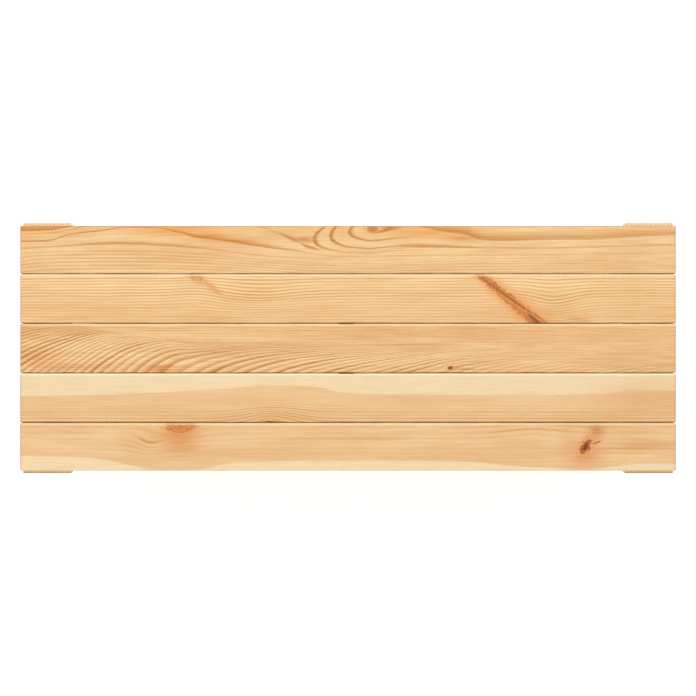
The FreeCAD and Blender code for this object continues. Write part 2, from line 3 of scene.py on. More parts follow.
import bmesh
import bpy
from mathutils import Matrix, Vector


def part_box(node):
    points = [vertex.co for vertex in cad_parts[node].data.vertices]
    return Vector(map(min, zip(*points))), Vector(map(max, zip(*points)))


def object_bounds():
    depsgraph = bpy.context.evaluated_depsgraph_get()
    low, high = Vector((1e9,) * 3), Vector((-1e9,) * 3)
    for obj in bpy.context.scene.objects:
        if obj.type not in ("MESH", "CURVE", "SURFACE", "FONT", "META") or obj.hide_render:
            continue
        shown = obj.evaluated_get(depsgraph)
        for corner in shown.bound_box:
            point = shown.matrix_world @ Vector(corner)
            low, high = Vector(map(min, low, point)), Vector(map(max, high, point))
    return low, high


# A child's platform wagon: oiled pine boards on battens, with its running gear and folded pull
# handle below. Metres in the scene; the wood finishes work in millimetres.

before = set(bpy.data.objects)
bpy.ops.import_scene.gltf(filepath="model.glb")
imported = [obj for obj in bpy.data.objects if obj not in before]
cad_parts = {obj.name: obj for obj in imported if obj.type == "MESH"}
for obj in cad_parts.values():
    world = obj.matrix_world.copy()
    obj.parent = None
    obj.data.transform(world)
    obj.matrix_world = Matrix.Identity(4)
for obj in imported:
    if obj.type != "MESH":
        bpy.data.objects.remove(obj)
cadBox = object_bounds()
print("frame loaded,", len(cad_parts), "nodes")


# Recipes: small helpers that lay out a finish's nodes


def paint(red, green, blue):
    # A colour, 0 to 255 a channel, turned to the linear values that shaders want
    channels = [value / 255 for value in (red, green, blue)]
    linear = [
        value / 12.92 if value < 0.04045 else ((value + 0.055) / 1.055) ** 2.4
        for value in channels
    ]
    return (*linear, 1.0)


class Recipe:
    def __init__(self, name):
        self.material = bpy.data.materials.new(name)
        self.material.use_nodes = True
        self.tree = self.material.node_tree
        self.shader = self.tree.nodes["Principled BSDF"]
        self.coordinates = self.tree.nodes.new("ShaderNodeTexCoord")

    def node(self, kind, **inputs):
        made = self.tree.nodes.new("ShaderNode" + kind)
        for name, value in inputs.items():
            self.feed(made.inputs[name.replace("_", " ")], value)
        return made

    def feed(self, socket, value):
        if isinstance(value, bpy.types.NodeSocket):
            self.tree.links.new(value, socket)
        else:
            socket.default_value = value

    def calc(self, operation, *values):
        made = self.tree.nodes.new("ShaderNodeMath")
        made.operation = operation
        for socket, value in zip(made.inputs, values):
            self.feed(socket, value)
        return made.outputs[0]

    def add(self, first, second):
        return self.calc("ADD", first, second)

    def subtract(self, first, second):
        return self.calc("SUBTRACT", first, second)

    def multiply(self, first, second):
        return self.calc("MULTIPLY", first, second)

    def divide(self, first, second):
        return self.calc("DIVIDE", first, second)

    def square(self, value):
        return self.calc("MULTIPLY", value, value)

    def length(self, first, second):
        return self.calc("SQRT", self.add(self.square(first), self.square(second)))

    def total(self, values):
        result = values[0]
        for value in values[1:]:
            result = self.add(result, value)
        return result

    def fade(self, value, low, high, start=0.0, end=1.0):
        # A smooth change from start to end while value goes from low to high
        made = self.tree.nodes.new("ShaderNodeMapRange")
        made.interpolation_type = "SMOOTHSTEP"
        for socket, setting in zip(made.inputs, (value, low, high, start, end)):
            self.feed(socket, setting)
        return made.outputs[0]

    def hill(self, value, middle, spread):
        # 1 at the middle, and fading to 0 over about two spreads
        offset = self.divide(self.subtract(value, middle), spread)
        return self.calc("EXPONENT", self.multiply(self.square(offset), -1.0))

    def spot(self, along, across, place):
        # A soft patch from (along, across, half length, half width)
        middleAlong, middleAcross, halfLength, halfWidth = place
        first = self.divide(self.subtract(along, middleAlong), halfLength)
        second = self.divide(self.subtract(across, middleAcross), halfWidth)
        reach = self.add(self.square(first), self.square(second))
        return self.calc("EXPONENT", self.multiply(reach, -1.0))

    def route(self, value, points):
        # A smooth curve through given points of (value, result)
        lows = [min(point[axis] for point in points) for axis in (0, 1)]
        spans = [max(max(point[axis] for point in points) - lows[axis], 0.001) for axis in (0, 1)]
        made = self.tree.nodes.new("ShaderNodeFloatCurve")
        curve = made.mapping.curves[0]
        placed = [((x - lows[0]) / spans[0], (y - lows[1]) / spans[1]) for x, y in points]
        while len(curve.points) < len(placed):
            curve.points.new(0.5, 0.5)
        for point, (x, y) in zip(curve.points, placed):
            point.location = (x, y)
        made.mapping.update()
        self.feed(made.inputs["Value"], self.divide(self.subtract(value, lows[0]), spans[0]))
        return self.add(self.multiply(made.outputs[0], spans[1]), lows[1])

    def join(self, x, y, z):
        made = self.tree.nodes.new("ShaderNodeCombineXYZ")
        for socket, value in zip(made.inputs, (x, y, z)):
            self.feed(socket, value)
        return made.outputs[0]

    def noise(self, vector, scale, detail=2.0, roughness=0.5):
        made = self.node("TexNoise", Vector=vector, Scale=scale, Detail=detail, Roughness=roughness)
        return made.outputs["Fac"]

    def mix(self, amount, first, second):
        made = self.tree.nodes.new("ShaderNodeMix")
        made.data_type = "RGBA"
        self.feed(made.inputs[0], amount)
        self.feed(made.inputs[6], first)
        self.feed(made.inputs[7], second)
        return made.outputs[2]

    def relief(self, height, depth, strength):
        made = self.node("Bump", Height=height, Distance=depth, Strength=strength)
        self.feed(self.shader.inputs["Normal"], made.outputs["Normal"])

    def settle(self, **values):
        for name, value in values.items():
            self.feed(self.shader.inputs[name.replace("_", " ")], value)
        return self.material

    def millimetres(self, middle):
        # Object coordinates in millimetres from a middle point given in metres
        moved = self.tree.nodes.new("ShaderNodeVectorMath")
        moved.operation = "SUBTRACT"
        self.feed(moved.inputs[0], self.coordinates.outputs["Object"])
        moved.inputs[1].default_value = middle
        scaled = self.tree.nodes.new("ShaderNodeVectorMath")
        scaled.operation = "SCALE"
        self.feed(scaled.inputs[0], moved.outputs[0])
        scaled.inputs["Scale"].default_value = 1000.0
        split = self.node("SeparateXYZ", Vector=scaled.outputs[0])
        return split.outputs


# Wood

# How many streaks a millimetre holds along the piece, across it and down into it
streaks = {
    "wander": (0.006, 0.03, 0.03),
    "ripple": (0.03, 0.12, 0.1),
    "drift": (0.007, 0.05, 0.05),
    "sapwood": (0.03, 0.6, 0.0),
    "patches": (0.02, 0.5, 0.0),
    "dashes": (0.07, 1.9, 1.9),
    "flecks": (0.22, 1.6, 1.6),
    "fibres": (0.016, 0.62, 0.62),
}


class Grain:
    # The ring pattern of one piece of wood, cut from a log whose pith runs along the piece

    def __init__(self, recipe, nodeName, axes, wood):
        self.recipe = recipe
        low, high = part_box(nodeName)
        middle = (low + high) / 2
        outputs = recipe.millimetres(middle)
        self.along, self.across, self.deep = [outputs["XYZ".index(axis)] for axis in axes]
        halfDepth = (high - low)["XYZ".index(axes[2])] * 500
        self.depth = recipe.subtract(halfDepth, self.deep)  # below the upper face
        self.wood = wood
        self.seed = wood["seed"]
        self.shapeKnots()
        self.layRings()

    def shapeKnots(self):
        mix = self.recipe
        self.bent = self.across
        self.knots = []
        for knot in self.wood.get("knots", ()):
            offAlong = mix.subtract(self.along, knot["along"])
            offAcross = mix.subtract(self.across, knot["across"])
            turn = math.radians(knot.get("turn", 0.0))
            lengthwise = mix.add(
                mix.multiply(offAlong, math.cos(turn)), mix.multiply(offAcross, math.sin(turn))
            )
            sidewise = mix.subtract(
                mix.multiply(offAcross, math.cos(turn)), mix.multiply(offAlong, math.sin(turn))
            )
            halfLength, halfWidth = knot["size"]
            widening = mix.add(mix.multiply(lengthwise, knot.get("taper", 0.0) / halfLength), 1.0)
            width = mix.calc("MAXIMUM", mix.multiply(widening, halfWidth), 0.3)
            if knot.get("band"):
                reach = mix.calc("ABSOLUTE", mix.divide(sidewise, width))
            else:
                reach = mix.length(mix.divide(lengthwise, halfLength), mix.divide(sidewise, width))
            edge = (knot.get("grainAlong", 0.12), knot.get("grainAcross", 0.9), 0.0)
            rough = self.streaky(edge, self.seed, 3.0)
            reach = mix.add(reach, mix.multiply(mix.subtract(rough, 0.5), knot.get("rough", 0.6)))
            self.knots.append((knot, reach, lengthwise, sidewise))
            flow = knot.get("flow", 0.0)
            if flow:
                # Rings part round the knot and close again behind it
                stretched = mix.divide(offAlong, knot.get("stretch", 3.0))
                spread = mix.add(mix.square(stretched), mix.square(offAcross))
                nearest = mix.calc("MAXIMUM", spread, flow * flow)
                push = mix.divide(mix.multiply(offAcross, flow * flow), nearest)
                self.bent = mix.subtract(self.bent, push)
        for place in self.wood.get("sags", ()):
            amount = mix.multiply(mix.spot(self.along, self.across, place[:4]), place[4])
            self.bent = mix.add(self.bent, amount)

    def layRings(self):
        mix = self.recipe
        wood = self.wood
        wander = mix.subtract(self.streaky(streaks["wander"], self.seed, 2.0), 0.5)
        wander = mix.multiply(wander, wood.get("wander", 3.0))
        ripple = mix.subtract(self.streaky(streaks["ripple"], self.seed + 7.0, 2.0), 0.5)
        ripple = mix.multiply(ripple, wood.get("ripple", 0.7))
        line = mix.total([self.bent, wander, ripple])
        if "guides" in wood:
            self.late = self.ringLines(self.countByGuides(line))
        elif "fan" in wood:
            self.late = self.fanLines(line)
        else:
            self.late = self.ringLines(self.countFromPith(line, wood))
        if "arch" in wood:
            arch = wood["arch"]
            inner = self.ringLines(self.countFromPith(line, arch), arch["lateStart"])
            inside = self.archMask(arch, line)
            self.late = mix.add(
                mix.multiply(self.late, mix.subtract(1.0, inside)), mix.multiply(inner, inside)
            )

    def countFromPith(self, line, log):
        mix = self.recipe
        offAcross = mix.subtract(line, self.follow(log["pithAcross"]))
        offDepth = mix.add(self.follow(log["pithDepth"]), self.depth)
        radius = mix.length(offAcross, offDepth)
        if isinstance(log["rings"], list):
            return mix.route(radius, log["rings"])
        return mix.divide(radius, log["rings"])

    def countByGuides(self, line):
        # Ring counts are set along drawn lines, and evened out between them
        mix = self.recipe
        guides = self.wood["guides"]
        heights = [self.follow(height) for count, height in guides]
        sunk = mix.add(line, mix.multiply(self.depth, 0.5))
        count = guides[0][0]
        for index in range(len(guides) - 1):
            gap = mix.subtract(heights[index], heights[index + 1])
            share = mix.divide(mix.subtract(heights[index], sunk), gap)
            share = mix.calc("MINIMUM", mix.calc("MAXIMUM", share, 0.0), 1.0)
            rings = guides[index + 1][0] - guides[index][0]
            if rings == 1:
                # Keeps a wide ring's dark edge thin
                share = mix.calc("POWER", share, self.wood["crisp"])
            count = mix.add(mix.multiply(share, rings), count)
        return count

    def fanLines(self, line):
        # Rings that leave the lower edge steeply and bend over towards the right
        mix = self.recipe
        fan = self.wood["fan"]
        height = self.follow(fan["height"])
        sunk = mix.add(mix.subtract(line, fan["base"]), mix.multiply(self.depth, 0.3))
        rise = mix.divide(sunk, height)
        left = mix.calc("MAXIMUM", mix.subtract(1.0, rise), 0.03)
        bend = mix.multiply(mix.calc("LOGARITHM", left, math.e), self.follow(fan["reach"]))
        start = mix.add(self.along, bend)
        fanned = self.ringLines(mix.route(start, fan["rings"]))
        straight = mix.multiply(self.ringLines(mix.divide(line, -3.4)), fan["topStrength"])
        return mix.add(
            mix.multiply(fanned, mix.fade(rise, 0.84, 0.96, 1.0, 0.0)),
            mix.multiply(straight, mix.fade(rise, 0.84, 0.96)),
        )

    def archMask(self, arch, line):
        mix = self.recipe
        lower = mix.fade(mix.subtract(line, self.follow(arch["floor"])), -1.0, 1.5)
        start, end = arch["span"]
        begun = mix.fade(self.along, start - 10, start + 10)
        ending = mix.fade(self.along, end - 30, end + 30, 1.0, 0.0)
        return mix.multiply(lower, mix.multiply(begun, ending))

    def ringLines(self, count, lateStart=None):
        # Each ring darkens slowly into its late wood, and ends sharply
        mix = self.recipe
        wood = self.wood
        lateStart = lateStart or wood.get("lateStart", 0.35)
        phase = mix.calc("FRACT", mix.add(count, 50.0))
        number = mix.calc("FLOOR", mix.add(count, 50.0))
        rise = mix.fade(phase, lateStart, 0.88)
        fall = mix.fade(phase, 0.92, 1.0, 1.0, 0.0)
        whiteNoise = mix.tree.nodes.new("ShaderNodeTexWhiteNoise")
        whiteNoise.noise_dimensions = "1D"
        mix.feed(whiteNoise.inputs["W"], mix.add(number, self.seed))
        strength = mix.fade(whiteNoise.outputs["Value"], 0.0, 1.0, wood.get("faintest", 0.35), 1.0)
        return mix.multiply(mix.multiply(rise, fall), strength)

    def follow(self, setting):
        return self.recipe.route(self.along, setting) if isinstance(setting, list) else setting

    def streaky(self, stretch, start, detail):
        # Noise drawn out along the piece
        mix = self.recipe
        alongStep, acrossStep, deepStep = stretch
        deep = mix.add(mix.multiply(self.depth, deepStep), start)
        place = mix.join(
            mix.multiply(self.along, alongStep), mix.multiply(self.across, acrossStep), deep
        )
        return mix.noise(place, 1.0, detail)

    def fibres(self):
        # Fibres bend round the knots
        mix = self.recipe
        places = zip((self.along, self.bent, self.depth), streaks["fibres"])
        fine = mix.join(*(mix.multiply(place, step) for place, step in places))
        return mix.noise(fine, 1.0, 5.0, 0.72)


# What use and oil have done to all the woodwork, and the painted shade and painted highlight at its
# seams and edges. Widths are in millimetres from an edge.
ageing = {
    "fibreLight": (255, 228, 172),
    "dashColour": (176, 108, 52),
    # The next five lines are painted shade and a painted highlight at the seams and board edges;
    # the seam's dark line is partly dirt
    "grimeAndShadeColour": (120, 70, 26), "grimeAndShadeWidth": (0.1, 1.3),
    "arrisHighlightColour": (255, 243, 196), "arrisHighlightMiddle": 1.5, "arrisHighlightSpread": 1.1,
    "seamShadeColour": (150, 88, 36), "seamShadeWidth": (0.3, 1.0),
    "rimShadeColour": (168, 116, 66), "rimShadeWidth": (0.2, 2.0),
    "endColour": (150, 104, 60), "endWidth": (0.2, 1.8), "endDepth": (1.2, 2.4),
    "endGrain": (168, 112, 60),
    "fleckColour": (150, 96, 56),
    "scuffColour": (120, 96, 74), "scuffReach": (52, 70),  # out from the wheel's middle
    "handColour": (142, 98, 62),
    "haloColour": (232, 160, 98),
    "knotColour": (206, 126, 66),
    "knotRings": (168, 88, 40),
    "relief": 0.00012,  # metres
    "roughness": (0.42, 0.6),
}


def woodFinish(name, nodeName, axes, wood):
    mix = Recipe(name)
    grain = Grain(mix, nodeName, axes, wood)
    along, across = grain.along, grain.across

    # Broad drifts of tone along the piece
    drift = grain.streaky(streaks["drift"], grain.seed + 3.0, 3.0)
    tone = mix.fade(drift, 0.3, 0.7)
    if "toneAcross" in wood:
        start, end = wood["toneAcross"]
        slope = mix.fade(across, start, end)
        tone = mix.add(mix.multiply(tone, 0.4), mix.multiply(slope, 0.6))
    colour = mix.mix(tone, paint(*wood["pale"]), paint(*wood["deep"]))

    # Sapwood
    if "sapEdge" in wood:
        edge = mix.route(along, wood["sapEdge"])
        past = mix.multiply(mix.subtract(across, edge), wood["sapSide"])
        shaggy = grain.streaky(streaks["sapwood"], grain.seed, 3.0)
        past = mix.add(past, mix.multiply(mix.subtract(shaggy, 0.5), 1.6))
        sap = mix.fade(past, -0.8, 0.8)
        colour = mix.mix(sap, colour, paint(*wood["sap"]))

    # Coloured patches, before the ring lines go on; those beside the slots are painted shade
    for patch in wood.get("patches", ()):
        amount = mix.multiply(mix.spot(along, across, patch["place"]), patch["strength"])
        streak = grain.streaky(streaks["patches"], grain.seed + 11.0, 3.0)
        amount = mix.multiply(amount, mix.fade(streak, 0.25, 0.6, 0.55, 1.0))
        colour = mix.mix(amount, colour, paint(*patch["colour"]))

    # Ring lines, fainter where the wood is plain
    lines = mix.multiply(grain.late, grain.follow(wood.get("boldness", 1.0)))
    if "linesAcross" in wood:
        lines = mix.multiply(lines, mix.route(across, wood["linesAcross"]))
    for place in wood.get("plain", ()):
        hidden = mix.multiply(mix.spot(along, across, place[:4]), place[4])
        lines = mix.multiply(lines, mix.subtract(1.0, hidden))
    for place in wood.get("lined", ()):
        extra = mix.multiply(mix.spot(along, across, place[:4]), place[4])
        lines = mix.add(lines, mix.multiply(grain.late, extra))
    if "sapEdge" in wood:
        lines = mix.multiply(lines, mix.subtract(1.0, mix.multiply(sap, 0.85)))
    colour = mix.mix(mix.calc("MINIMUM", lines, 1.0), colour, paint(*wood["late"]))

    # Fibres and short resin dashes
    fibre = grain.fibres()
    fibreStrength = wood.get("fibre", 0.3)
    darkFibre = mix.fade(fibre, 0.47, 0.66, 0.0, fibreStrength)
    colour = mix.mix(darkFibre, colour, paint(*wood["late"]))
    paleFibre = mix.fade(fibre, 0.34, 0.5, fibreStrength, 0.0)
    colour = mix.mix(paleFibre, colour, paint(*ageing["fibreLight"]))
    dashes = grain.streaky(streaks["dashes"], grain.seed + 5.0, 1.0)
    dash = mix.fade(dashes, 0.7, 0.78, 0.0, 0.35)
    colour = mix.mix(dash, colour, paint(*ageing["dashColour"]))

    # Knots, with a halo of darker wood, rings of their own and a dark rim
    cracks = 0.0
    for knot, reach, lengthwise, sidewise in grain.knots:
        ringColour = paint(*knot.get("ringColour", ageing["knotRings"]))
        near = mix.fade(reach, 1.0, knot.get("haloReach", 2.6), 1.0, 0.0)
        halo = mix.multiply(near, knot.get("halo", 0.5))
        halo = mix.multiply(halo, mix.fade(fibre, 0.3, 0.6, 0.6, 1.0))
        colour = mix.mix(halo, colour, paint(*knot.get("haloColour", ageing["haloColour"])))
        body = mix.multiply(mix.fade(reach, 0.85, 1.1, 1.0, 0.0), knot.get("strength", 1.0))
        colour = mix.mix(body, colour, paint(*knot.get("colour", ageing["knotColour"])))
        rings = mix.calc("SINE", mix.multiply(reach, knot.get("rings", 3.0) * math.tau))
        ringed = mix.multiply(mix.multiply(mix.fade(rings, 0.0, 0.9), body), 0.6)
        colour = mix.mix(ringed, colour, ringColour)
        if "veins" in knot:
            drawn = mix.noise(
                mix.join(mix.multiply(lengthwise, 0.06), mix.multiply(sidewise, 0.7), grain.seed),
                1.0, 4.0, 0.65,
            )
            veined = mix.multiply(mix.multiply(mix.fade(drawn, 0.48, 0.62), body), knot["veins"])
            colour = mix.mix(veined, colour, ringColour)
        if "rim" in knot:
            rim = mix.multiply(mix.hill(reach, 1.0, 0.14), knot["rim"])
            colour = mix.mix(rim, colour, paint(*knot["coreColour"]))
        if "core" in knot:
            ragged = mix.multiply(mix.subtract(fibre, 0.5), 0.5)
            core = mix.add(mix.spot(lengthwise, sidewise, knot["core"]), ragged)
            core = mix.fade(core, 0.45, 0.75)
            colour = mix.mix(mix.multiply(core, 0.9), colour, paint(*knot["coreColour"]))
            cracks = mix.add(core, cracks)

    # The seams have gathered oil and dust, more in some places than in others, and painted shade
    # and a painted highlight go on beside them
    if "halfWidth" in wood:
        topEdge = mix.fade(grain.depth, 1.5, 4.0, 1.0, 0.0)
        patchy = mix.noise(mix.join(mix.multiply(along, 0.025), grain.seed, 0.0), 1.0, 3.0)
        # Patchy dirt and painted shade along the gap, on the arris that faces away from the key
        # light
        fromRight = mix.add(across, wood["halfWidth"])
        grimeAndShade = mix.fade(fromRight, *ageing["grimeAndShadeWidth"], 1.0, 0.0)
        grimeAndShade = mix.multiply(grimeAndShade, mix.fade(patchy, 0.35, 0.65, 0.1, 0.75))
        grimeAndShade = mix.multiply(mix.multiply(grimeAndShade, topEdge), wood.get("grimeAndShade", 1.0))
        colour = mix.mix(grimeAndShade, colour, paint(*ageing["grimeAndShadeColour"]))
        fromLeft = mix.subtract(wood["halfWidth"], across)
        # A painted highlight on the arris beside the gap, on the side the key light comes from
        rubbedAndHighlit = mix.hill(fromLeft, ageing["arrisHighlightMiddle"], ageing["arrisHighlightSpread"])
        rubbedAndHighlit = mix.multiply(mix.multiply(rubbedAndHighlit, topEdge), wood.get("rubbedAndHighlit", 0.55))
        colour = mix.mix(rubbedAndHighlit, colour, paint(*ageing["arrisHighlightColour"]))
        # Painted shade right at the edge of the gap
        seamShade = mix.fade(fromLeft, *ageing["seamShadeWidth"], wood.get("seamShade", 0.35), 0.0)
        colour = mix.mix(mix.multiply(seamShade, topEdge), colour, paint(*ageing["seamShadeColour"]))
        # Painted shade along the board's outer edge; only the outermost board uses it
        rim = mix.fade(fromLeft, *ageing["rimShadeWidth"], wood.get("rimShade", 0.0), 0.0)
        colour = mix.mix(mix.multiply(rim, topEdge), colour, paint(*ageing["rimShadeColour"]))
    if "endShade" in wood:
        # Painted shade on the arrises at the ends
        low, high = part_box(nodeName)
        halfLength = ((high - low) * 500)["XYZ".index(axes[0])]
        fromEnd = mix.subtract(halfLength, mix.calc("ABSOLUTE", along))
        shadeAndWear = mix.fade(fromEnd, *ageing["endWidth"], wood["endShade"], 0.0)
        shadeAndWear = mix.multiply(shadeAndWear, mix.fade(grain.depth, *ageing["endDepth"], 1.0, 0.0))
        colour = mix.mix(shadeAndWear, colour, paint(*ageing["endColour"]))

    # End grain takes up more oil, so it's darker and shows its pores
    normal = mix.node("SeparateXYZ", Vector=mix.coordinates.outputs["Normal"])
    facing = normal.outputs["XYZ".index(axes[0])]
    endFace = mix.fade(mix.calc("ABSOLUTE", facing), 0.25, 0.7)
    pores = mix.noise(
        mix.join(mix.multiply(across, 2.2), mix.multiply(grain.depth, 2.2), grain.seed), 1.0, 2.0
    )
    endTone = paint(*wood.get("endTone", ageing["endGrain"]))
    endColour = mix.mix(mix.fade(pores, 0.4, 0.75, 0.4, 0.85), colour, endTone)
    colour = mix.mix(mix.multiply(endFace, 0.9), colour, endColour)

    height = mix.add(mix.multiply(fibre, 0.5), mix.multiply(lines, 0.35))
    height = mix.subtract(height, mix.multiply(cracks, 1.2))
    if "flecks" in wood:
        # Beech shows short dark flecks
        short = grain.streaky(streaks["flecks"], 0.0, 1.0)
        fleck = mix.fade(short, 0.58, 0.66, 0.0, wood["flecks"])
        colour = mix.mix(fleck, colour, paint(*ageing["fleckColour"]))
        height = mix.subtract(height, mix.multiply(fleck, 0.6))
    if "turned" in wood:
        around = mix.length(along, across)
        chatter = mix.noise(mix.join(mix.multiply(around, 1.4), grain.seed, 0.0), 1.0, 2.0)
        height = mix.add(height, mix.multiply(chatter, wood["turned"]))
        scuffed = mix.fade(mix.noise(mix.coordinates.outputs["Object"], 60.0, 4.0), 0.45, 0.7)
        shadeAndWear = mix.multiply(mix.fade(around, *ageing["scuffReach"]), scuffed)
        colour = mix.mix(mix.multiply(shadeAndWear, 0.35), colour, paint(*ageing["scuffColour"]))
    if "handled" in wood:
        # Hands have darkened it
        smudge = mix.fade(mix.noise(mix.coordinates.outputs["Object"], 35.0, 4.0), 0.35, 0.7)
        smudge = mix.multiply(smudge, wood["handled"])
        colour = mix.mix(smudge, colour, paint(*ageing["handColour"]))
    mix.relief(height, ageing["relief"], 0.6)
    dryness = mix.add(mix.multiply(fibre, 0.7), mix.multiply(lines, -0.25))
    roughness = mix.fade(dryness, 0.1, 0.6, *ageing["roughness"])
    return mix.settle(Base_Color=colour, Roughness=roughness, Specular_IOR_Level=0.3)


# Each deck board: the log it came from, and what shows on its face. Places are (along, across) in
# millimetres from the board's middle.

